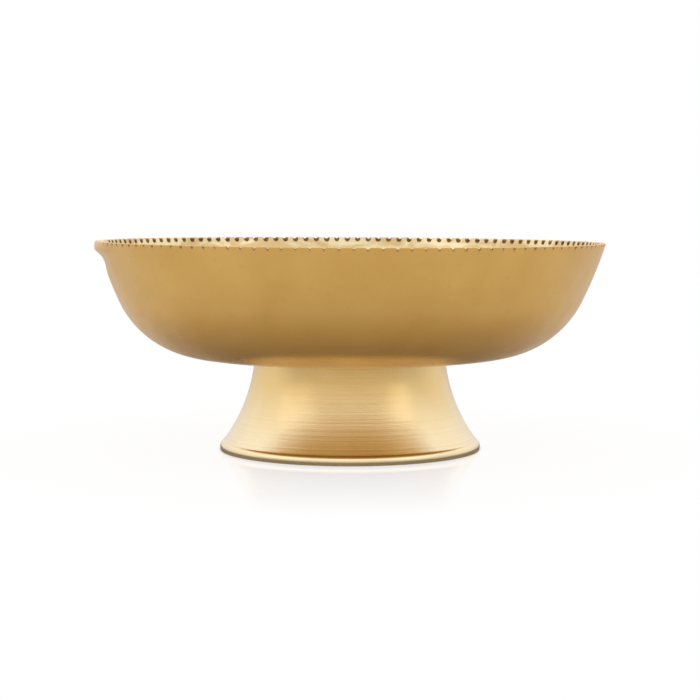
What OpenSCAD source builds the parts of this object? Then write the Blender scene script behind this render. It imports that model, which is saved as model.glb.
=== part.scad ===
// Brass urli: a shallow round bowl with a notched rim and a pouring lip, on a flared hollow foot.
// A boss under the bowl drops into a socket in the foot, and one screw from below clamps the two.
// Origin: centre of the foot's resting face. +Z is up, the pouring lip is at -X, the front at -Y.

/* [Bowl] */
// Outside diameter of the rim
rim_d = 305; // [250:1:380]
// Height of the bowl alone, from its flat underside to the rim
bowl_h = 71.7; // [60:0.1:88]
// Thickness of the bowl's wall
wall = 2.2; // [1.6:0.1:3]
// Radius of the flat on the underside that stands on the foot
seat_r = 47; // [38:0.5:50]
// Radius of the long arc of the underside
belly_arc = 382; // [300:1:460]
// Radius of the heel, where the underside turns up into the side
heel_arc = 58.7; // [48:0.1:72]
// Radius of the long arc of the side
side_arc = 283; // [230:1:340]
// Lean of the side away from vertical at the rim, in degrees
rim_lean = 17.3; // [14:0.1:20]

/* [Rim] */
// Thickness of the rim, across its flat top
rim_t = 3.6; // [2.8:0.1:5]
// Depth below the top at which the thick rim has faded into the wall
rim_fade = 14; // [9:0.5:20]
// Chamfer that eases the rim's top corners
rim_ease = 0.5; // [0.2:0.1:0.8]
// Number of notches filed across the rim
notch_count = 128; // [60:1:140]
// Radius of the tapered file at the outer end of its stroke
file_outer_r = 0.55; // [0.3:0.05:0.8]
// Radius of the tapered file at the inner end of its stroke
file_inner_r = 2.25; // [1.4:0.05:2.4]
// Height of the file's axis above the rim at the outer end
file_outer_lift = 0.6; // [0.2:0.05:0.9]
// Depth of the file's axis below the rim at the inner end
file_inner_drop = 0.55; // [0:0.05:0.9]
// How far the hand-spaced notches drift from even spacing, in degrees
notch_drift = 1.35; // [0:0.01:2]
// Turn of the first notch from the front, in degrees
notch_start = 1.18; // [-2:0.01:2]

/* [Pouring lip] */
// How far the lip stands out beyond the rim's circle
lip_out = 0.8; // [0.6:0.1:3]
// Radius of the lip, seen from above
lip_r = 125; // [100:1:140]
// Height of the lip's upright edge, and again of the slope under it
lip_edge = 5; // [3:0.1:7]
// Depth of the pinch in the wall below the lip
pinch_in = 1.5; // [1:0.1:2.5]
// Distance of the pinch's middle below the rim
pinch_drop = 12.5; // [12:0.1:16]
// Radius of the pinch, seen from the side
pinch_r = 14; // [10:0.5:18]
// Radius of the pinch, seen from above
pinch_sweep = 220; // [190:1:260]

/* [Foot] */
// Height of the foot
foot_h = 53.5; // [44:0.1:66]
// Outside diameter of the foot's neck, under the bowl
neck_d = 115.8; // [104:0.1:130]
// Outside diameter of the foot at the crease above its base ring
crease_d = 153; // [144:0.1:176]
// Radius of the hollow flare between the neck and the crease
flare_arc = 97.8; // [85:0.1:130]
// Height of the crease above the resting face
crease_h = 5.6; // [4.5:0.1:7]
// How far the base ring bulges out beyond the crease
ring_out = 2.3; // [1.8:0.1:3]
// Height at which the base ring is widest
ring_mid = 1.8; // [1:0.1:2.4]
// Width of the flat ring that the foot stands on
rest_w = 8; // [6:0.5:10]
// Thickness of the foot's wall
foot_wall = 2.6; // [2:0.1:3.4]
// Thickness of the web across the top of the foot
web_t = 3; // [2.4:0.1:4]

/* [Joint between bowl and foot] */
// Diameter of the boss under the bowl
boss_d = 24; // [20:0.5:29]
// Length of the boss below the bowl's underside
boss_l = 10; // [8:0.5:12]
// Gap between the boss and its socket, on the radius
socket_gap = 0.15; // [0.1:0.01:0.3]
// Gap between the boss's end and the socket's floor
socket_float = 0.6; // [0.4:0.1:1]
// Thickness of the socket's side wall
hub_wall = 5; // [4:0.5:7]
// Thickness of the socket's floor, which the screw clamps
hub_floor = 4; // [3:0.5:5]
// Nominal diameter of the screw
screw_d = 8; // [6:0.1:10]
// Gap between the screw and the tapped hole, on the radius
thread_gap = 0.05; // [0.03:0.01:0.1]
// Depth of bowl metal left above the tapped hole
tap_cover = 3.2; // [2:0.1:4]
// Distance of the screw's end from the bottom of the tapped hole
tap_clear = 1; // [0.5:0.1:2]

/* [Hidden] */

$fn = 180;
overrun = 20;
// How far a cut runs past the flat face that it opens
cut_past = 1;
// Size of a wedge against its circle, direction where the belly's wedge starts, just past straight down
pie_reach = 1.1;
belly_start = -92;
// How far the slanted cuts at the rim run on beyond their corners, in lengths of the slant
fade_run = 0.5;
ease_run = 5;
// Notches that are cut together
notch_row = 16;
// How far a stroke of the file runs beyond the rim's inner and outer edges
stroke_in = 1.5;
stroke_out = 2.2;
// Turn of the lip from the front, and the half angle there that has no notches
lip_turn = 270;
lip_half = 13;
// The arcs of the bowl cross at these small amounts instead of touching: the slope at which the belly
// leaves the seat, and how far the heel stands proud of its two neighbours
seat_slope = 0.6;
heel_proud = 0.02;

cast_brass = [0.80, 0.64, 0.38];
turned_brass = [0.87, 0.73, 0.46];
zinc_steel = [0.72, 0.72, 0.70];

// Usual proportions of a hexagon screw and its washers, all from the screw's diameter
head_flats = 1.625 * screw_d;
head_h = 0.66 * screw_d;
end_chamfer = 0.08 * screw_d;
screw_hole_d = 1.125 * screw_d;
washer_hole_d = 1.05 * screw_d;
plain_d = 2 * screw_d;
plain_t = 0.2 * screw_d;
spring_d = 1.85 * screw_d;
spring_t = 0.25 * screw_d;
spring_split = 0.15 * screw_d;
spring_slant = 20;

rim_r = rim_d / 2;
rim_z = foot_h + bowl_h;
floor_z = foot_h + wall;
neck_r = neck_d / 2;
crease_r = crease_d / 2;
boss_r = boss_d / 2;

// Heights in the joint, from the foot's top face down
boss_end_z = foot_h - boss_l;
socket_z = boss_end_z - socket_float;
hub_z = socket_z - hub_floor;
plain_z = hub_z - plain_t;
spring_z = plain_z - spring_t;
tap_top_z = floor_z - tap_cover;
socket_r = boss_r + socket_gap;
hub_r = socket_r + hub_wall;

// Centres of the bowl's arcs, as [radius, height]. The belly springs almost level from the seat, the
// side leans out to the rim, and the heel joins the two from inside.
belly_c = [seat_r, foot_h] + belly_arc * [-sin(seat_slope), cos(seat_slope)];
side_c = [rim_r, rim_z] - side_arc * [cos(rim_lean), -sin(rim_lean)];
heel_c = circles_meet(side_c, side_arc - heel_arc, belly_c, belly_arc - heel_arc);
belly_end = bearing(belly_c, heel_c);
heel_end = bearing(side_c, heel_c);

// Centres of the foot's arcs. The flare runs from the neck's top to the crease, and the base ring
// is a bead that starts at the crease.
flare_c = circles_meet([crease_r, crease_h], flare_arc, [neck_r, foot_h], flare_arc);
ring_drop = crease_h - ring_mid;
ring_r = (ring_out * ring_out + ring_drop * ring_drop) / (2 * ring_out);
ring_c = [crease_r + ring_out - ring_r, ring_mid];
rest_r = ring_c[0] + sqrt(ring_r * ring_r - ring_mid * ring_mid);

// The pinch below the lip is a wide ring that bites into the wall from outside, square to its slope.
pinch_z = rim_z - pinch_drop;
pinch_slope = asin((side_c[1] - pinch_z) / side_arc);
pinch_c = [side_radius(pinch_z, 0), pinch_z]
    + (pinch_r - pinch_in) * [cos(pinch_slope), -sin(pinch_slope)];
pinch_ring = pinch_sweep + pinch_r;

// The crossing of two circles that lies to the right of the line from centre a to centre b
function circles_meet(a, ra, b, rb) =
    let (
        span = norm(b - a),
        along = (span * span + ra * ra - rb * rb) / (2 * span),
        aside = sqrt(ra * ra - along * along),
        dir = (b - a) / span
    )
    a + along * dir + aside * [dir[1], -dir[0]];

// Direction from one point to another, in degrees
function bearing(from, to) = atan2(to[1] - from[1], to[0] - from[0]);

// Radius of the bowl's side at a height, inset by a wall
function side_radius(z, inset) =
    side_c[0] + sqrt(pow(side_arc - inset, 2) - pow(side_c[1] - z, 2));

// Turn of a notch from the front: an even step with a slow drift
function notch_turn(i) =
    let (even = notch_start + i * 360 / notch_count)
    even + notch_drift * sin(even);

// Wedge of a disc between two directions
module pie(centre, radius, from, to) {
    reach = pie_reach * radius;
    translate(centre)
        intersection() {
            circle(radius);
            polygon([
                [0, 0],
                reach * [cos(from), sin(from)],
                reach * [cos((from + to) / 2), sin((from + to) / 2)],
                reach * [cos(to), sin(to)]
            ]);
        }
}

// Half section of the filled bowl, drawn in from the outside by an inset and cut off level at a top
module bowl_section(inset, top) {
    intersection() {
        translate([0, foot_h + inset])
            square([rim_r + overrun, top - foot_h - inset]);
        union() {
            translate([0, foot_h + inset])
                square([belly_c[0], top - foot_h - inset]);
            pie(belly_c, belly_arc - inset, belly_start, belly_end);
            translate(heel_c)
                circle(heel_arc + heel_proud - inset);
            pie(side_c, side_arc - inset, heel_end, 0);
        }
    }
}

// Half section of the hollow: the filled bowl less its wall, narrowed where the rim is thick
module hollow_section() {
    edge = [rim_r - rim_t, rim_z - rim_ease];
    fade = [side_radius(rim_z - rim_fade, wall), rim_z - rim_fade];
    difference() {
        bowl_section(wall, rim_z + overrun);
        polygon([
            fade + fade_run * (fade - edge),
            edge,
            edge + [2 * overrun, 2 * overrun],
            [rim_r + 3 * overrun, rim_z + 2 * overrun],
            [rim_r + 3 * overrun, fade[1]]
        ]);
    }
}

// Half section of the outside, with the rim's outer corner eased
module outer_section() {
    ease_low = [side_radius(rim_z - rim_ease, 0), rim_z - rim_ease];
    ease_top = [rim_r - rim_ease, rim_z];
    difference() {
        bowl_section(0, rim_z);
        polygon([
            ease_low + ease_run * (ease_low - ease_top),
            ease_top + ease_run * (ease_top - ease_low),
            [rim_r + overrun, rim_z + overrun]
        ]);
    }
}

// Half section of the filled casting, with the boss and its tapped hole
module casting_section() {
    difference() {
        union() {
            outer_section();
            translate([0, boss_end_z])
                square([boss_r, boss_l + wall / 2]);
        }
        translate([-cut_past, boss_end_z - cut_past])
            square([screw_d / 2 + thread_gap + cut_past, tap_top_z - boss_end_z + cut_past]);
    }
}

// Upright edge of the lip with the slope under it, as a disc that the hollow later cuts open
module lip_disc() {
    translate([lip_r - lip_out - rim_r, 0, rim_z])
        rotate_extrude()
            polygon([
                [0, 0],
                [lip_r - rim_ease, 0],
                [lip_r, -rim_ease],
                [lip_r, -lip_edge],
                [lip_r - lip_edge, -2 * lip_edge],
                [0, -2 * lip_edge]
            ]);
}

// Ring that bites into the wall below the lip, grown by a thickness
module pinch_ring(grow) {
    translate([pinch_ring - pinch_c[0], 0, pinch_c[1]])
        rotate_extrude()
            translate([pinch_ring, 0])
                circle(pinch_r + grow);
}

// One stroke of the tapered file across the rim, lower at its inner end
module notch() {
    inner_x = rim_r - rim_t - stroke_in;
    outer_x = rim_r + stroke_out;
    run = outer_x - inner_x;
    rise = file_outer_lift + file_inner_drop;
    translate([inner_x, 0, rim_z - file_inner_drop])
        rotate([0, 90 - atan2(rise, run), 0])
            cylinder(h = norm([run, rise]), r1 = file_inner_r, r2 = file_outer_r);
}

// A stretch of neighbouring notches, from the front round by way of +X, with none across the lip
module notches(first, last) {
    for (i = [first : last])
        if (abs(notch_turn(i) - lip_turn) > lip_half)
            rotate([0, 0, notch_turn(i) - 90])
                notch();
}

// The casting before its rim is filed. Below the lip the wall bends inwards at an even thickness.
module casting() {
    difference() {
        union() {
            difference() {
                union() {
                    rotate_extrude()
                        casting_section();
                    lip_disc();
                }
                rotate_extrude()
                    hollow_section();
            }
            intersection() {
                rotate_extrude()
                    bowl_section(0, rim_z - rim_ease);
                pinch_ring(wall);
            }
        }
        pinch_ring(0);
    }
}

module bowl() {
    color(cast_brass)
    difference() {
        casting();
        for (first = [0 : notch_row : notch_count - 1])
            notches(first, min(first + notch_row, notch_count) - 1);
    }
}

// Half section of the foot's outside, from the flare down over the bead of the base ring
module foot_section() {
    difference() {
        translate([0, ring_mid])
            square([crease_r, foot_h - ring_mid]);
        translate(flare_c)
            circle(flare_arc);
    }
    intersection() {
        union() {
            square([ring_c[0], crease_h]);
            translate(ring_c)
                circle(ring_r);
        }
        square([crease_r + overrun, crease_h]);
    }
}

// Half section of the foot's hollow, under the web
module foot_hollow_section() {
    difference() {
        translate([0, -overrun])
            square([rest_r - rest_w, foot_h - web_t + overrun]);
        translate(flare_c)
            circle(flare_arc + foot_wall);
    }
}

module foot() {
    color(turned_brass)
    difference() {
        union() {
            difference() {
                rotate_extrude()
                    foot_section();
                rotate_extrude()
                    foot_hollow_section();
            }
            translate([0, 0, hub_z])
                cylinder(h = foot_h - web_t / 2 - hub_z, r = hub_r);
        }
        translate([0, 0, socket_z])
            cylinder(h = foot_h - socket_z + cut_past, r = socket_r);
        translate([0, 0, hub_z - cut_past])
            cylinder(h = hub_floor + 2 * cut_past, d = screw_hole_d);
    }
}

module clamp_screw() {
    head_r = head_flats / 2 / cos(30);
    shank = tap_top_z - tap_clear - spring_z;
    color(zinc_steel) {
        intersection() {
            translate([0, 0, spring_z - head_h])
                cylinder(h = head_h, r = head_r, $fn = 6);
            translate([0, 0, spring_z - head_h])
                cylinder(h = 2 * head_r, r1 = head_flats / 2, r2 = head_flats / 2 + 4 * head_r);
        }
        translate([0, 0, spring_z - head_h / 2]) {
            cylinder(h = shank + head_h / 2 - end_chamfer, d = screw_d);
            translate([0, 0, shank + head_h / 2 - end_chamfer])
                cylinder(h = end_chamfer, d1 = screw_d, d2 = screw_d - 2 * end_chamfer);
        }
    }
}

module spring_washer() {
    color(zinc_steel)
    translate([0, 0, spring_z])
        difference() {
            cylinder(h = spring_t, d = spring_d);
            translate([0, 0, -cut_past])
                cylinder(h = spring_t + 2 * cut_past, d = washer_hole_d);
            translate([0, 0, spring_t / 2])
                rotate([spring_slant, 0, 0])
                    translate([0, -spring_split / 2, -spring_t * 2])
                        cube([spring_d, spring_split, spring_t * 4]);
        }
}

module plain_washer() {
    color(zinc_steel)
    translate([0, 0, plain_z])
        difference() {
            cylinder(h = plain_t, d = plain_d);
            translate([0, 0, -cut_past])
                cylinder(h = plain_t + 2 * cut_past, d = washer_hole_d);
        }
}

bowl();
foot();
clamp_screw();
spring_washer();
plain_washer();
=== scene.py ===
"""Looks of the brass urli: a satin cast bowl with a hand-notched rim, on a bright turned foot."""

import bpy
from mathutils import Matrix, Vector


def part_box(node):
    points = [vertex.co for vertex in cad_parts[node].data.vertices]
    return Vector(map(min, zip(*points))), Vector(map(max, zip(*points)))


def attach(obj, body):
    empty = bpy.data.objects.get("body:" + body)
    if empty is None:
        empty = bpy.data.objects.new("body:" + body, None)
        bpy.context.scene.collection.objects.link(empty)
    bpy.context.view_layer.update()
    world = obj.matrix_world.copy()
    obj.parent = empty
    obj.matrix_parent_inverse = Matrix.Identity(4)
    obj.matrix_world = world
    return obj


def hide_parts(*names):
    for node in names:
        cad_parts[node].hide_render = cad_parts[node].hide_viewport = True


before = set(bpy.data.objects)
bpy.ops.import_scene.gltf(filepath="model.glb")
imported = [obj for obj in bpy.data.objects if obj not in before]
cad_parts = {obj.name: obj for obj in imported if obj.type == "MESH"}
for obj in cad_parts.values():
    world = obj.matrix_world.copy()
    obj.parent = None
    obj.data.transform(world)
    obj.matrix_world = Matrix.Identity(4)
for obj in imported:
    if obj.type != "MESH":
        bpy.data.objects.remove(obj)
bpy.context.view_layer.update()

import math

import bpy
import numpy as np
from mathutils import Vector

MM = 0.001

# Driving sizes, in millimetres, read off the frame
BOWL_LOW, BOWL_HIGH = (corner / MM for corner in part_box("bowl"))
FOOT_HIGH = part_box("foot")[1] / MM
RIM_Z = BOWL_HIGH.z
BOSS_END_Z = BOWL_LOW.z
FOOT_Z = FOOT_HIGH.z
RING_R = FOOT_HIGH.x
HUB_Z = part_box("plain_washer")[1].z / MM
SCREW_END_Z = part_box("clamp_screw")[1].z / MM

# The bowl's own sizes, as the CAD part has them, in millimetres and degrees
RIM_R = 152.5
WALL = 2.2
SEAT_R = 47
SEAT_SLOPE = 0.6
BELLY_ARC = 382
HEEL_ARC = 58.7
SIDE_ARC = 283
RIM_LEAN = 17.3
RIM_T = 3.6
RIM_FADE = 14
RIM_ROUND = 0.55
BOSS_R = 12
TAP_R = 4.05
TAP_CLEAR = 1

# Notches: a tapered round file's stroke, from beyond the rim's outer edge to inside its inner edge
NOTCHES = 128
NOTCH_DRIFT = 1.35
NOTCH_START = 1.18
STROKE_OUT = 2.2
STROKE_IN = 5.1
FILE_OUTER_R = 0.55
FILE_INNER_R = 2.25
FILE_OUTER_LIFT = 0.6
FILE_INNER_DROP = 0.55
TOOTH_WEAR = 0.22
FILE_FLARE = 5
# Spread of the hand-filed notches: sideways and in depth in millimetres, in width as a share
ASIDE_SPREAD = 0.12
DEPTH_SPREAD = 0.1
WIDTH_SPREAD = 0.05
# Depth at which the painted shade in a file mark starts, and the further depth at which it is full
NOTCH_SHADE_FROM = 0.2
NOTCH_SHADE_FULL = 0.8

# Pouring lip at -X. The pinch is a little shallower and higher than the CAD part's
LIP_OUT = 0.8
LIP_R = 125
LIP_EDGE = 5
PINCH_IN = 1.1
PINCH_DROP = 12.3
PINCH_ACROSS = 30
PINCH_TALL = 5
LIP_BARE = 33
LIP_NOTCH_FADE = 5
LIP_BLEND = 0.5
LIP_SOFT_DROP = 1.6
LIP_SOFT_IN = 0.7

# The finished bowl sits a hair out of level and off centre, as hand-fitted ones do
ROLL_DEG = 0.3
SHIFT_X = 0.5

# The foot
NECK_R = 57.9
CREASE_R = 76.5
CREASE_H = 5.6
RING_MID = 1.8
FLARE_ARC = 97.8
FOOT_WALL = 2.6
WEB_T = 3
REST_W = 8
SOCKET_R = 12.15
HUB_R = 17.15
SOCKET_FLOOR = 4
SCREW_HOLE_R = 4.5

# Camera: metres from the axis and above the floor, degrees down and round towards the lip
CAMERA_AWAY = 1.08275
CAMERA_Z = 0.14825
CAMERA_DOWN = 4.684
CAMERA_TURN = 8
LENS_MM = 92.15
SENSOR_MM = 36

# Half the floor's side, in metres
FLOOR_HALF = 6

# Fineness of the meshes
STEPS_PER_NOTCH = 16
COARSE_SKIP = 8
SHARP_DEG = 48
FOOT_STEPS = 512


# ---------------------------------------------------------------- geometry helpers

def circles_meet(a, ra, b, rb):
    """The crossing of two circles that lies to the right of the line from centre a to centre b."""
    a, b = np.array(a, float), np.array(b, float)
    span = np.linalg.norm(b - a)
    along = (span**2 + ra**2 - rb**2) / (2 * span)
    aside = math.sqrt(ra**2 - along**2)
    way = (b - a) / span
    return a + along * way + aside * np.array([way[1], -way[0]])


def bearing(start, end):
    return math.atan2(end[1] - start[1], end[0] - start[0])


def arc(centre, radius, start, end, steps):
    """Points along an arc, as [radius, height] pairs, both ends included."""
    t = np.linspace(start, end, steps + 1)
    return np.stack([centre[0] + radius * np.cos(t), centre[1] + radius * np.sin(t)], 1)


def rounded(points, radius, steps=4):
    """A closed outline with each sharp corner replaced by a small arc-like curve."""
    out = []
    count = len(points)
    for i in range(count):
        before, here, after = points[i - 1], points[i], points[(i + 1) % count]
        a, b = before - here, after - here
        la, lb = np.linalg.norm(a), np.linalg.norm(b)
        turn = math.pi - math.acos(np.clip(a @ b / (la * lb), -1, 1))
        if turn < math.radians(20):
            out.append(here)
            continue
        reach = min(radius * math.tan(turn / 2), 0.45 * la, 0.45 * lb)
        p, q = here + a / la * reach, here + b / lb * reach
        for t in np.linspace(0, 1, steps + 1):
            out.append((1 - t) ** 2 * p + 2 * t * (1 - t) * here + t**2 * q)
    return np.array(out)


def bend(first, corner, last, t):
    """Radius and height of a point on the curve from first to last that leans to the corner."""
    weights = ((1 - t) ** 2, 2 * t * (1 - t), t * t)
    return [weights[0] * first[i] + weights[1] * corner[i] + weights[2] * last[i] for i in (0, 1)]


def smooth_max(a, b, soft):
    return 0.5 * (a + b + np.sqrt((a - b) ** 2 + soft**2))


def smooth_min(a, b, soft):
    return 0.5 * (a + b - np.sqrt((a - b) ** 2 + soft**2))


def mesh_object(name, verts, faces, material, marks=()):
    """A smooth-shaded mesh in metres that rides on the only body.

    Marks are named values at its points."""
    mesh = bpy.data.meshes.new(name)
    mesh.from_pydata((np.asarray(verts) * MM).tolist(), [], faces)
    for mark, values in marks:
        mesh.attributes.new(mark, "FLOAT", "POINT").data.foreach_set("value", values)
    mesh.validate()
    mesh.shade_smooth()
    mesh.set_sharp_from_angle(angle=math.radians(SHARP_DEG))
    mesh.materials.append(material)
    piece = bpy.data.objects.new(name, mesh)
    bpy.context.scene.collection.objects.link(piece)
    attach(piece, "root")
    return piece


# ---------------------------------------------------------------- the bowl

belly_c = (
    SEAT_R - BELLY_ARC * math.sin(math.radians(SEAT_SLOPE)),
    FOOT_Z + BELLY_ARC * math.cos(math.radians(SEAT_SLOPE)),
)
side_c = (
    RIM_R - SIDE_ARC * math.cos(math.radians(RIM_LEAN)),
    RIM_Z + SIDE_ARC * math.sin(math.radians(RIM_LEAN)),
)
heel_c = circles_meet(side_c, SIDE_ARC - HEEL_ARC, belly_c, BELLY_ARC - HEEL_ARC)
belly_end = bearing(belly_c, heel_c)
heel_end = bearing(side_c, heel_c)


def side_radius(z, inset):
    return side_c[0] + np.sqrt((SIDE_ARC - inset) ** 2 - (side_c[1] - z) ** 2)


def side_bearing(z, inset):
    return -math.asin((side_c[1] - z) / (SIDE_ARC - inset))


def notch_layout():
    """Angle of each fine column from +X, its distance from the nearest notch, and its extra depth.

    Columns crowd round each notch. Distances are in millimetres along the rim."""
    rng = np.random.default_rng(7)
    pitch = 2 * math.pi * RIM_R / NOTCHES
    half = [0, 0.4, 0.75, 1.05, 1.35, 1.65, 2.0, 2.5]
    offsets = np.array([-x for x in half[:0:-1]] + half + [pitch / 2])
    number = np.repeat(np.arange(NOTCHES), STEPS_PER_NOTCH)
    offset = np.tile(offsets, NOTCHES)
    even = math.radians(NOTCH_START) + (number + offset / pitch) * 2 * math.pi / NOTCHES
    turn = even + math.radians(NOTCH_DRIFT) * np.sin(even)
    angle = turn - math.pi / 2
    aside = rng.normal(0, ASIDE_SPREAD, NOTCHES)[number]
    scale = (1 + rng.normal(0, WIDTH_SPREAD, NOTCHES))[number]
    deeper = rng.normal(0, DEPTH_SPREAD, NOTCHES)[number]
    distance = np.abs(offset - aside) / scale
    distance = np.where(offset == pitch / 2, pitch / 2, distance)
    return angle, distance, deeper


def from_axis(theta):
    """Angle from the lip's direction, -X, at most a half turn."""
    return theta % (2 * math.pi) - math.pi


angle, notch_distance, notch_deeper = notch_layout()
from_lip = np.abs(from_axis(angle))
lip_fade = np.clip((from_lip * RIM_R - LIP_BARE) / LIP_NOTCH_FADE, 0, 1)


def notch_floor(x):
    """Height of the file's cut below the rim's top, x millimetres out from the rim's outer edge."""
    t = (x + STROKE_IN) / (STROKE_OUT + STROKE_IN)
    radius = FILE_INNER_R + (FILE_OUTER_R - FILE_INNER_R) * t
    axis = -FILE_INNER_DROP + (FILE_OUTER_LIFT + FILE_INNER_DROP) * t - notch_deeper
    inside = notch_distance < radius
    round_part = axis - np.sqrt(np.maximum(radius**2 - notch_distance**2, 0))
    beside = axis + FILE_FLARE * (notch_distance - radius)
    return np.where(inside, round_part, beside)


def rim_top(x):
    """Height of the rim's top along x, with the notches cut and their edges worn."""
    cut = smooth_min(0.0, notch_floor(x), TOOTH_WEAR)
    return RIM_Z + cut * lip_fade


def cut_depth(x):
    """Share of the full notch depth that is cut away at x, for the painted shade in the file marks.
    """
    return np.clip((RIM_Z - rim_top(x) - NOTCH_SHADE_FROM) / NOTCH_SHADE_FULL, 0, 1)


def lip_reach(theta, z):
    """How far out the lip's surface lies in a direction, at a height; 0 where there is none."""
    centre = RIM_R + LIP_OUT - LIP_R
    below = RIM_Z - z
    radius = LIP_R - np.clip(below - LIP_EDGE, 0, None)
    off = theta - math.pi
    across = radius**2 - (centre * np.sin(off)) ** 2
    reach = centre * np.cos(off) + np.sqrt(np.maximum(across, 0))
    present = (across > 0) & (np.cos(off) > 0) & (below < 2.4 * LIP_EDGE)
    return np.where(present, reach, 0)


def pinch(theta, z):
    """Depth of the pinch below the lip."""
    across = from_axis(theta) * RIM_R / PINCH_ACROSS
    tall = (z - (RIM_Z - PINCH_DROP)) / PINCH_TALL
    return PINCH_IN * np.exp(-(across**2)) * np.exp(-(tall**2))


def ring(theta, radius, height, outside):
    """One row of the bowl's mesh, with the lip and the hand-made lean put in."""
    radius = np.broadcast_to(np.asarray(radius, float), theta.shape).copy()
    height = np.broadcast_to(np.asarray(height, float), theta.shape).copy()
    if outside:
        reach = lip_reach(theta, height)
        radius = np.where(reach > radius - 3, smooth_max(radius, reach, LIP_BLEND) - 0.05, radius)
        soft = np.clip((height - RIM_Z + LIP_SOFT_DROP) / LIP_SOFT_DROP, 0, 1)
        radius -= LIP_SOFT_IN * soft**2 * np.exp(-((from_axis(theta) * RIM_R / LIP_BARE) ** 2))
    radius -= pinch(theta, height)
    x, y = radius * np.cos(theta), radius * np.sin(theta)
    rise = np.clip((height - FOOT_Z - WALL) / (RIM_Z - FOOT_Z - WALL), 0, 1)
    ease = rise * rise * (3 - 2 * rise)
    height = height - x * math.tan(math.radians(ROLL_DEG)) * ease
    return np.stack([x + SHIFT_X * ease, y, height], 1)


def bowl_rows():
    """The bowl's rows from the tapped hole out over the rim and back to the middle of the inside.

    With each row go its two marks: how deep in a file mark it is, and whether it is inside."""
    coarse = angle[::COARSE_SKIP]
    rows, filed, inner = [], [], []

    def add(theta, r, z, outside, mark=0.0, within=0.0):
        rows.append(ring(theta, r, z, outside))
        filed.append(np.broadcast_to(mark, theta.shape).astype(np.float32))
        inner.append(np.full(theta.shape, within, np.float32))

    tap_top = SCREW_END_Z + TAP_CLEAR
    for r, z in (
        (TAP_R, tap_top), (TAP_R, BOSS_END_Z), (BOSS_R, BOSS_END_Z),
        (BOSS_R, FOOT_Z), (0.5 * (BOSS_R + SEAT_R), FOOT_Z),
    ):
        add(coarse, r, z, False)
    join_z = RIM_Z - 12
    outside = np.concatenate([
        [(SEAT_R, FOOT_Z)],
        arc(belly_c, BELLY_ARC, math.radians(SEAT_SLOPE - 90), belly_end, 14)[1:-1],
        arc(heel_c, HEEL_ARC, belly_end, heel_end, 40)[:-1],
        arc(side_c, SIDE_ARC, heel_end, side_bearing(join_z, 0), 12),
    ])
    for r, z in outside:
        add(coarse, r, z, True)

    # Fine rows: up the outer wall, over the rounded corner, across the top and down the inner wall
    outer_edge = rim_top(0) - RIM_ROUND
    for share in np.linspace(0, 1, 9)[1:]:
        z = join_z + (outer_edge - join_z) * share
        add(angle, side_radius(z, 0), z, True, 0.5 * cut_depth(0) * (share == 1))
    start_x = -1.2 * RIM_ROUND
    corner = (side_radius(rim_top(0), 0), rim_top(0))
    first = (side_radius(outer_edge, 0), outer_edge)
    last = (RIM_R + start_x, rim_top(start_x))
    for t in (0.25, 0.5, 0.75, 1):
        r, z = bend(first, corner, last, t)
        add(angle, r, z, True, cut_depth(start_x))
    end_x = RIM_ROUND - RIM_T
    for x in np.linspace(start_x, end_x, 7)[1:]:
        add(angle, RIM_R + x, rim_top(x), True, cut_depth(x))
    inner_edge = rim_top(-RIM_T) - RIM_ROUND
    fade_z = RIM_Z - RIM_FADE
    fade_r = side_radius(fade_z, WALL)

    def inner_radius(z):
        share = (RIM_Z - z) / RIM_FADE
        return (RIM_R - RIM_T) + (fade_r - RIM_R + RIM_T) * share

    first = (RIM_R + end_x, rim_top(end_x))
    corner = (inner_radius(rim_top(-RIM_T)), rim_top(-RIM_T))
    last = (inner_radius(inner_edge), inner_edge)
    for t in (0.25, 0.5, 0.75, 1):
        r, z = bend(first, corner, last, t)
        add(angle, r, z, False, cut_depth(-RIM_T), 1)
    low_z = RIM_Z - 11
    for share in (0.04, 0.1, 0.2, 0.4, 0.7, 1):
        z = inner_edge + (low_z - inner_edge) * share
        add(angle, inner_radius(z), z, False, cut_depth(-RIM_T) * max(0, 0.7 - 10 * share), 1)

    # Coarse rows again, down the inside to the middle
    add(coarse, inner_radius(low_z - 1.5), low_z - 1.5, False, 0, 1)
    inside = np.concatenate([
        arc(side_c, SIDE_ARC - WALL, side_bearing(fade_z, WALL), heel_end, 10)[:-1],
        arc(heel_c, HEEL_ARC - WALL, heel_end, belly_end, 36)[:-1],
        arc(belly_c, BELLY_ARC - WALL, belly_end, math.radians(SEAT_SLOPE - 90), 12),
    ])
    for r, z in inside:
        add(coarse, r, z, False, 0, 1)
    for r in (34, 20, 8):
        add(coarse, r, FOOT_Z + WALL, False, 0, 1)
    return rows, tap_top, filed, inner


def join_rows(verts_before, a, b):
    """Faces between two rows. Where their counts differ, a long cell takes several short edges."""
    na, nb = len(a), len(b)
    ia, ib = verts_before, verts_before + na
    faces = []
    if na == nb:
        for j in range(na):
            k = (j + 1) % na
            faces.append((ia + j, ia + k, ib + k, ib + j))
    elif na < nb:
        skip = nb // na
        for j in range(na):
            short = [ib + (j * skip + s) % nb for s in range(skip, -1, -1)]
            faces.append((ia + j, ia + (j + 1) % na, *short))
    else:
        skip = na // nb
        for j in range(nb):
            short = [ia + (j * skip + s) % na for s in range(skip + 1)]
            faces.append((*short, ib + (j + 1) % nb, ib + j))
    return faces


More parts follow.
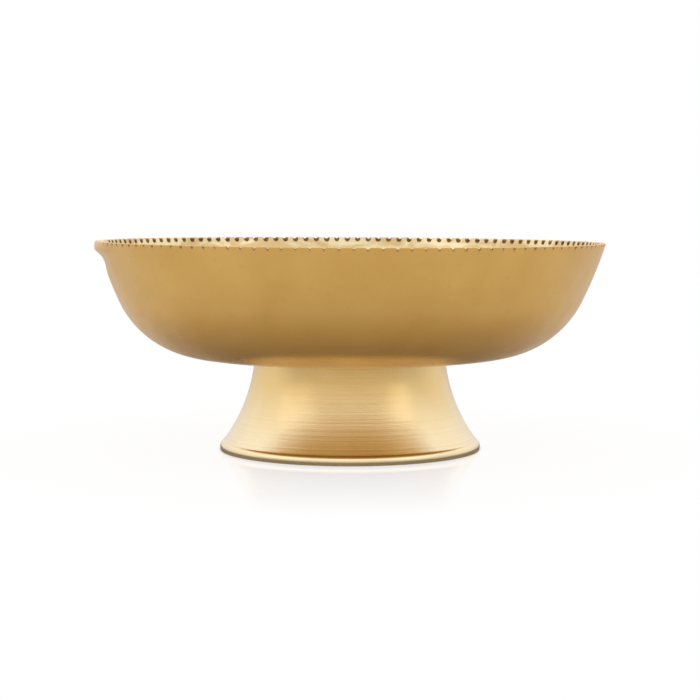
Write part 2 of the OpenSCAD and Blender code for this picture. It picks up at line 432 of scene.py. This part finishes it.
def build_bowl(material):
    rows, tap_top, filed, inner = bowl_rows()
    verts = [np.array([[0, 0, tap_top]])] + rows + [np.array([[0, 0, FOOT_Z + WALL]])]
    faces = []
    count = len(rows[0])
    faces += [(0, 1 + (j + 1) % count, 1 + j) for j in range(count)]
    start = 1
    for a, b in zip(rows, rows[1:]):
        faces += join_rows(start, a, b)
        start += len(a)
    end = start + len(rows[-1])
    faces += [(start + j, start + (j + 1) % len(rows[-1]), end) for j in range(len(rows[-1]))]
    points = np.concatenate(verts)
    marks = [(name, np.concatenate([[first], *rows_of, [last]]))
             for name, rows_of, first, last in (("filed", filed, 0, 0), ("inner", inner, 0, 1))]
    bowl = mesh_object("urli_bowl", points, faces, material, marks)
    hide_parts("bowl")
    return bowl


# ---------------------------------------------------------------- the foot

def foot_outline():
    """Closed half section of the foot, clockwise from the top of the neck."""
    crease = np.array([CREASE_R, CREASE_H])
    flare_c = circles_meet(crease, FLARE_ARC, (NECK_R, FOOT_Z), FLARE_ARC)
    bulge, drop = RING_R - CREASE_R, CREASE_H - RING_MID
    bead_r = (bulge**2 + drop**2) / (2 * bulge)
    bead_c = np.array([RING_R - bead_r, RING_MID])
    rest_r = bead_c[0] + math.sqrt(bead_r**2 - RING_MID**2)
    rest_in = rest_r - REST_W
    flare = arc(
        flare_c, FLARE_ARC,
        bearing(flare_c, (NECK_R, FOOT_Z)) % (2 * math.pi),
        bearing(flare_c, crease) % (2 * math.pi), 44,
    )
    bead = arc(bead_c, bead_r, bearing(bead_c, crease), bearing(bead_c, (rest_r, 0)), 12)[1:]
    under_r = FLARE_ARC + FOOT_WALL
    low_z = flare_c[1] - math.sqrt(under_r**2 - (flare_c[0] - rest_in) ** 2)
    web_z = FOOT_Z - WEB_T
    web_r = flare_c[0] - math.sqrt(under_r**2 - (flare_c[1] - web_z) ** 2)
    under = arc(
        flare_c, under_r,
        bearing(flare_c, (rest_in, low_z)) % (2 * math.pi),
        bearing(flare_c, (web_r, web_z)) % (2 * math.pi), 30,
    )
    joint = np.array([
        (HUB_R, web_z), (HUB_R, HUB_Z), (SCREW_HOLE_R, HUB_Z),
        (SCREW_HOLE_R, HUB_Z + SOCKET_FLOOR), (SOCKET_R, HUB_Z + SOCKET_FLOOR), (SOCKET_R, FOOT_Z),
    ])
    rest = np.array([(rest_in, 0.0)])
    return rounded(np.concatenate([flare, bead, rest, under, joint]), 0.35)


def build_foot(material):
    outline = foot_outline()
    theta = np.arange(FOOT_STEPS) * 2 * math.pi / FOOT_STEPS
    rows = [np.stack([r * np.cos(theta), r * np.sin(theta), np.full_like(theta, z)], 1)
            for r, z in outline]
    count = len(rows)
    faces = []
    for i in range(count):
        a, b = i * FOOT_STEPS, ((i + 1) % count) * FOOT_STEPS
        for j in range(FOOT_STEPS):
            k = (j + 1) % FOOT_STEPS
            faces.append((a + j, b + j, b + k, a + k))
    foot = mesh_object("turned_foot", np.concatenate(rows), faces, material)
    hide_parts("foot")
    return foot


# ---------------------------------------------------------------- materials

def new_material(name):
    material = bpy.data.materials.new(name)
    material.use_nodes = True
    material.node_tree.nodes.clear()
    return material, material.node_tree.nodes, material.node_tree.links


def node(nodes, kind, **settings):
    made = nodes.new(kind)
    for key, value in settings.items():
        setattr(made, key, value)
    return made


def noise(nodes, links, coords, scale, detail, roughness, distortion=0):
    made = node(nodes, "ShaderNodeTexNoise")
    links.new(coords, made.inputs["Vector"])
    made.inputs["Scale"].default_value = scale
    made.inputs["Detail"].default_value = detail
    made.inputs["Roughness"].default_value = roughness
    made.inputs["Distortion"].default_value = distortion
    return made.outputs["Fac"]


def remap(nodes, links, value, from_low, from_high, to_low, to_high):
    made = node(nodes, "ShaderNodeMapRange")
    links.new(value, made.inputs["Value"])
    made.inputs["From Min"].default_value = from_low
    made.inputs["From Max"].default_value = from_high
    made.inputs["To Min"].default_value = to_low
    made.inputs["To Max"].default_value = to_high
    return made.outputs["Result"]


def blend(nodes, links, share, first, second):
    """A colour part of the way between two colours or colour outputs."""
    made = node(nodes, "ShaderNodeMix", data_type="RGBA")
    links.new(share, made.inputs["Factor"])
    for value, socket in ((first, made.inputs[6]), (second, made.inputs[7])):
        if isinstance(value, tuple):
            socket.default_value = (*value, 1)
        else:
            links.new(value, socket)
    return made.outputs[2]


def math_node(nodes, links, kind, a, b=None):
    made = node(nodes, "ShaderNodeMath", operation=kind)
    for value, socket in ((a, made.inputs[0]), (b, made.inputs[1])):
        if value is None:
            continue
        if isinstance(value, (int, float)):
            socket.default_value = value
        else:
            links.new(value, socket)
    return made.outputs[0]


def stretched(nodes, links, coords, scale):
    made = node(nodes, "ShaderNodeMapping")
    links.new(coords, made.inputs["Vector"])
    made.inputs["Scale"].default_value = scale
    return made.outputs["Vector"]


def turned_lines(nodes, links, coords, per_metre, detail):
    """Noise that runs in rings round the Z axis, as lathe marks do."""
    split = node(nodes, "ShaderNodeSeparateXYZ")
    links.new(coords, split.inputs[0])
    xx = math_node(nodes, links, "MULTIPLY", split.outputs[0], split.outputs[0])
    yy = math_node(nodes, links, "MULTIPLY", split.outputs[1], split.outputs[1])
    radius = math_node(nodes, links, "SQRT", math_node(nodes, links, "ADD", xx, yy))
    along = math_node(nodes, links, "SUBTRACT", split.outputs[2], radius)
    made = node(nodes, "ShaderNodeTexNoise", noise_dimensions="1D")
    links.new(along, made.inputs["W"])
    made.inputs["Scale"].default_value = per_metre
    made.inputs["Detail"].default_value = detail
    made.inputs["Roughness"].default_value = 0.65
    return made.outputs["Fac"]


def bump(nodes, links, height, strength, distance, normal=None):
    made = node(nodes, "ShaderNodeBump")
    made.inputs["Strength"].default_value = strength
    made.inputs["Distance"].default_value = distance
    links.new(height, made.inputs["Height"])
    if normal is not None:
        links.new(normal, made.inputs["Normal"])
    return made.outputs["Normal"]


def metal(nodes, links, colour, roughness, normal, anisotropic, lacquer=0, dull=None):
    shader = node(nodes, "ShaderNodeBsdfPrincipled")
    shader.inputs["Metallic"].default_value = 1
    shader.inputs["Coat Weight"].default_value = lacquer
    if dull is not None:
        links.new(remap(nodes, links, dull, 0, 0.5, lacquer, 0), shader.inputs["Coat Weight"])
    shader.inputs["Coat Roughness"].default_value = 0.3
    for value, socket in ((colour, "Base Color"), (roughness, "Roughness"), (normal, "Normal")):
        links.new(value, shader.inputs[socket])
    if anisotropic:
        shader.inputs["Anisotropic"].default_value = anisotropic
        tangent = node(nodes, "ShaderNodeTangent", direction_type="RADIAL", axis="Z")
        links.new(tangent.outputs["Tangent"], shader.inputs["Tangent"])
    out = node(nodes, "ShaderNodeOutputMaterial")
    links.new(shader.outputs[0], out.inputs["Surface"])


def mark_value(nodes, name):
    return node(nodes, "ShaderNodeAttribute", attribute_name=name).outputs["Fac"]


def cast_brass():
    material, nodes, links = new_material("cast_brass_satin")
    coords = node(nodes, "ShaderNodeTexCoord").outputs["Object"]
    split = node(nodes, "ShaderNodeSeparateXYZ")
    links.new(coords, split.inputs[0])
    clouds = noise(nodes, links, coords, 22, 5, 0.55, 0.6)
    colour = blend(nodes, links, remap(nodes, links, clouds, 0.32, 0.68, 0, 1),
                   (0.82, 0.495, 0.140), (0.75, 0.435, 0.110))
    # Small dull specks and handling marks
    specks = noise(nodes, links, coords, 170, 4, 0.6)
    speckled = remap(nodes, links, specks, 0.6, 0.78, 0, 0.3)
    colour = blend(nodes, links, speckled, colour, (0.60, 0.37, 0.15))
    # The inside is painted paler than the outside, a painted sheen for the brighter light it
    # catches, with a few warmer smears of random tone
    smears = noise(nodes, links, stretched(nodes, links, coords, (1, 1, 3)), 40, 4, 0.6, 0.8)
    inner_painted_sheen = blend(nodes, links, remap(nodes, links, smears, 0.42, 0.58, 0, 1),
                   (0.92, 0.77, 0.46), (0.72, 0.51, 0.24))
    inner = mark_value(nodes, "inner")
    colour = blend(nodes, links, inner, colour, inner_painted_sheen)
    # Painted shade in the file marks: dark brown where the cut is deep, mottled by noise
    filed = mark_value(nodes, "filed")
    notch_shade_mottle = noise(nodes, links, coords, 420, 3, 0.6)
    notch_shade = math_node(nodes, links, "MULTIPLY", filed, remap(nodes, links, notch_shade_mottle, 0.25, 0.6, 0.7, 1))
    colour = blend(nodes, links, notch_shade, colour, (0.125, 0.058, 0.014))
    rings = turned_lines(nodes, links, coords, 900, 6)
    wear = noise(nodes, links, coords, 48, 6, 0.62)
    satin = remap(nodes, links, wear, 0.3, 0.72, 0.27, 0.41)
    # The underside next to the foot is polished
    height = remap(nodes, links, split.outputs[2], 0.0552, 0.060, 0.10, 1)
    roughness = math_node(nodes, links, "MULTIPLY", satin, height)
    hammered = bump(nodes, links, clouds, 0.35, 0.0008)
    grain = noise(nodes, links, coords, 1500, 3, 0.6)
    grained = bump(nodes, links, grain, 0.10, 0.0002, hammered)
    normal = bump(nodes, links, rings, 0.05, 0.0003, grained)
    dulled = math_node(nodes, links, "MULTIPLY", notch_shade, 0.35)
    roughness = math_node(nodes, links, "ADD", roughness, dulled)
    metal(nodes, links, colour, roughness, normal, 0.3, 0.25, notch_shade)
    return material


def turned_brass():
    material, nodes, links = new_material("turned_brass_bright")
    coords = node(nodes, "ShaderNodeTexCoord").outputs["Object"]
    clouds = noise(nodes, links, coords, 30, 4, 0.5, 0.5)
    split = node(nodes, "ShaderNodeSeparateXYZ")
    links.new(coords, split.inputs[0])
    # Painted sheen: the foot is painted paler and lighter towards the bottom for the bright light
    # its lower flare reflects; the two tones also differ at random
    painted_sheen_low = remap(nodes, links, split.outputs[2], 0.042, 0.012, 0, 1)
    tone_and_sheen = blend(nodes, links, painted_sheen_low, (0.90, 0.650, 0.28), (0.95, 0.80, 0.52))
    worn_and_sheen = blend(nodes, links, painted_sheen_low, (0.86, 0.590, 0.225), (0.91, 0.74, 0.45))
    colour = blend(nodes, links, remap(nodes, links, clouds, 0.32, 0.68, 0, 1), tone_and_sheen, worn_and_sheen)
    coarse = turned_lines(nodes, links, coords, 420, 3)
    scored = remap(nodes, links, coarse, 0.35, 0.75, 0, 0.2)
    colour = blend(nodes, links, scored, colour, (0.79, 0.57, 0.26))
    fine = turned_lines(nodes, links, coords, 2600, 6)
    roughness = remap(nodes, links, fine, 0.3, 0.7, 0.19, 0.27)
    grooves = bump(nodes, links, fine, 0.07, 0.0003)
    normal = bump(nodes, links, coarse, 0.05, 0.0005, grooves)
    metal(nodes, links, colour, roughness, normal, 0.72, 0.4)
    return material


def zinc_steel():
    material, nodes, links = new_material("zinc_plated_steel")
    coords = node(nodes, "ShaderNodeTexCoord").outputs["Object"]
    spangle = noise(nodes, links, coords, 260, 4, 0.6)
    colour = blend(nodes, links, spangle, (0.58, 0.58, 0.56), (0.72, 0.71, 0.68))
    roughness = remap(nodes, links, spangle, 0.3, 0.7, 0.26, 0.42)
    grain = noise(nodes, links, stretched(nodes, links, coords, (1, 1, 4)), 1800, 3, 0.6)
    metal(nodes, links, colour, roughness, bump(nodes, links, grain, 0.2, 0.0001), 0)
    return material


def floor_material():
    """White sweep with a soft contact shade and a weak mirror image that dies away.

    Reflections in the brass see a greyer card, with a painted shadow of the bowl that makes it
    darkest under the bowl."""
    material, nodes, links = new_material("white_floor")
    coords = node(nodes, "ShaderNodeTexCoord").outputs["Object"]
    length = node(nodes, "ShaderNodeVectorMath", operation="LENGTH")
    links.new(coords, length.inputs[0])
    distance = length.outputs["Value"]
    shade = node(nodes, "ShaderNodeAmbientOcclusion", samples=8)
    shade.inputs["Distance"].default_value = 0.005
    contact = remap(nodes, links, shade.outputs["AO"], 0.3, 0.7, 0, 1)
    white = blend(nodes, links, contact, (0.15, 0.10, 0.055), (1.0, 1.0, 1.0))
    lit = node(nodes, "ShaderNodeEmission")
    links.new(white, lit.inputs["Color"])
    mirror = node(nodes, "ShaderNodeBsdfAnisotropic")
    mirror.inputs["Roughness"].default_value = 0.07
    mirror.inputs["Color"].default_value = (1, 0.96, 0.86, 1)
    fade = remap(nodes, links, distance, 0.078, 0.24, 0.26, 0)
    seen = node(nodes, "ShaderNodeMixShader")
    links.new(fade, seen.inputs["Fac"])
    links.new(lit.outputs[0], seen.inputs[1])
    links.new(mirror.outputs[0], seen.inputs[2])
    card = node(nodes, "ShaderNodeBsdfDiffuse")
    # Painted shadow of the bowl: the card seen in reflections is darker near the middle
    painted_shadow_share = remap(nodes, links, distance, 0.06, 0.26, 0, 1)
    card_with_painted_shadow = blend(nodes, links, painted_shadow_share, (0.44, 0.43, 0.41), (0.68, 0.68, 0.68))
    links.new(card_with_painted_shadow, card.inputs["Color"])
    path = node(nodes, "ShaderNodeLightPath")
    choose = node(nodes, "ShaderNodeMixShader")
    links.new(path.outputs["Is Camera Ray"], choose.inputs["Fac"])
    links.new(card.outputs[0], choose.inputs[1])
    links.new(seen.outputs[0], choose.inputs[2])
    out = node(nodes, "ShaderNodeOutputMaterial")
    links.new(choose.outputs[0], out.inputs["Surface"])
    return material


# ---------------------------------------------------------------- studio

def build_world():
    """White to the camera. In reflections the ceiling glows, and the front is the dimmest."""
    world = bpy.data.worlds.new("studio")
    bpy.context.scene.world = world
    world.use_nodes = True
    nodes, links = world.node_tree.nodes, world.node_tree.links
    nodes.clear()
    way = node(nodes, "ShaderNodeTexCoord").outputs["Generated"]
    split = node(nodes, "ShaderNodeSeparateXYZ")
    links.new(way, split.inputs[0])
    front = remap(nodes, links, split.outputs[1], 0.25, -0.25, 0, 1)
    up = remap(nodes, links, split.outputs[2], 0.02, 0.55, 0, 1)
    level = blend(nodes, links, front, (0.88, 0.88, 0.90), (0.60, 0.60, 0.61))
    level = blend(nodes, links, up, level, (1.10, 1.10, 1.12))
    room = node(nodes, "ShaderNodeBackground")
    links.new(level, room.inputs["Color"])
    white = node(nodes, "ShaderNodeBackground")
    white.inputs["Color"].default_value = (1, 1, 1, 1)
    path = node(nodes, "ShaderNodeLightPath")
    choose = node(nodes, "ShaderNodeMixShader")
    links.new(path.outputs["Is Camera Ray"], choose.inputs["Fac"])
    links.new(room.outputs[0], choose.inputs[1])
    links.new(white.outputs[0], choose.inputs[2])
    out = node(nodes, "ShaderNodeOutputWorld")
    links.new(choose.outputs[0], out.inputs["Surface"])


def area_light(name, place, target, width, height, radiance):
    data = bpy.data.lights.new(name, "AREA")
    data.shape = "RECTANGLE"
    data.size, data.size_y = width, height
    data.energy = radiance * math.pi * width * height
    lamp = bpy.data.objects.new(name, data)
    bpy.context.scene.collection.objects.link(lamp)
    lamp.location = place
    lamp.rotation_euler = (Vector(target) - Vector(place)).to_track_quat("-Z", "Y").to_euler()


def build_floor():
    mesh = bpy.data.meshes.new("floor")
    corners = [(x * FLOOR_HALF, y * FLOOR_HALF, 0) for x, y in ((-1, -1), (1, -1), (1, 1), (-1, 1))]
    mesh.from_pydata(corners, [], [(0, 1, 2, 3)])
    mesh.materials.append(floor_material())
    floor = bpy.data.objects.new("floor", mesh)
    bpy.context.scene.collection.objects.link(floor)


def build_camera():
    """Front view, turned a little towards the lip, which it sees edge-on at the left."""
    data = bpy.data.cameras.new("camera")
    data.lens, data.sensor_width = LENS_MM, SENSOR_MM
    camera = bpy.data.objects.new("camera", data)
    turn = math.radians(CAMERA_TURN)
    camera.location = (-CAMERA_AWAY * math.sin(turn), -CAMERA_AWAY * math.cos(turn), CAMERA_Z)
    camera.rotation_euler = (math.radians(90 - CAMERA_DOWN), 0, -turn)
    bpy.context.scene.collection.objects.link(camera)
    bpy.context.scene.camera = camera


build_bowl(cast_brass())
build_foot(turned_brass())
steel = zinc_steel()
for name in ("clamp_screw", "spring_washer", "plain_washer"):
    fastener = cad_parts[name]
    fastener.data.materials.clear()
    fastener.data.materials.append(steel)

build_floor()
build_world()
area_light("left_box", (-1.2, -0.42, 0.62), (0, 0, 0.05), 0.9, 0.5, 0.25)
area_light("right_box", (1.0, -0.85, 0.62), (0, 0, 0.05), 0.6, 0.5, 0.35)
build_camera()
bpy.context.scene.view_settings.view_transform = "Standard"
